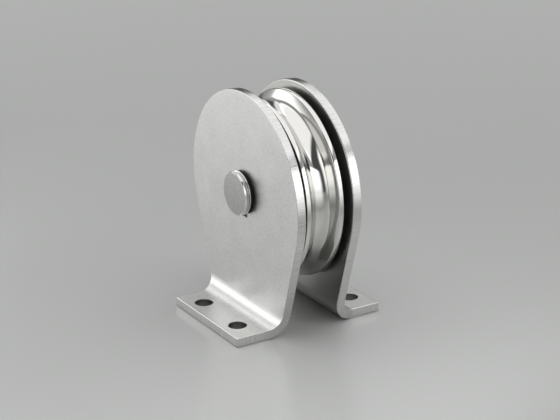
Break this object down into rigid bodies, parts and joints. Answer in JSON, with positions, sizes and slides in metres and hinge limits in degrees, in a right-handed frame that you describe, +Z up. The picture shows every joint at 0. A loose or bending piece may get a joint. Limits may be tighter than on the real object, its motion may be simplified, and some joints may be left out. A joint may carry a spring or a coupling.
{
  "type": "fixed pulley",
  "caption": "Fixed pulley: a grooved rope sheave on a ball bearing between two bent side plates with bolt-down feet.",
  "frame": {"origin": "on the surface that the feet stand on, in the middle of the four bolt holes, under the middle of the axle", "axes": "+Z up, +Y along the axle from its head towards its retaining ring, +X to the right as the axle's head is looked at"},
  "size_m": [0.108, 0.087, 0.124],
  "materials": {
    "plate_steel": "bead-blasted stainless steel",
    "polished_steel": "mirror-polished stainless steel",
    "turned_steel": "fine turned stainless steel",
    "bright_steel": "bright ground steel",
    "bearing_steel": "ground bearing steel",
    "spring_steel": "pressed sheet steel",
    "seal_rubber": "black rubber"
  },
  "bodies": {
    "frame": {"front_side_plate": "plate_steel", "rear_side_plate": "plate_steel", "axle": "turned_steel", "axle_key": "turned_steel", "head_washer": "bright_steel", "head_seal": "seal_rubber", "rear_washer": "bright_steel", "axle_retaining_ring": "spring_steel", "front_spacer_collar": "bright_steel", "rear_spacer_collar": "bright_steel", "bearing_inner_ring": "bearing_steel"},
    "sheave": {"sheave": "polished_steel", "bearing_outer_ring": "bearing_steel", "front_bearing_shield": "spring_steel", "rear_bearing_shield": "spring_steel", "bore_retaining_ring": "spring_steel"},
    "cage": {"bearing_cage": "spring_steel", "bearing_ball_1": "bearing_steel", "bearing_ball_2": "bearing_steel", "bearing_ball_3": "bearing_steel", "bearing_ball_4": "bearing_steel", "bearing_ball_5": "bearing_steel", "bearing_ball_6": "bearing_steel", "bearing_ball_7": "bearing_steel", "bearing_ball_8": "bearing_steel"}
  },
  "joints": [
    {"name": "sheave_spin", "type": "hinge", "parent": "frame", "child": "sheave", "pos_m": [0, 0, 0.07], "axis": [0, 1, 0], "continuous": true},
    {"name": "cage_spin", "type": "hinge", "parent": "frame", "child": "cage", "pos_m": [0, 0, 0.07], "axis": [0, 1, 0], "continuous": true}
  ],
  "couplings": [
    {"joint": "cage_spin", "follows": "sheave_spin", "ratio": 0.6185}
  ]
}
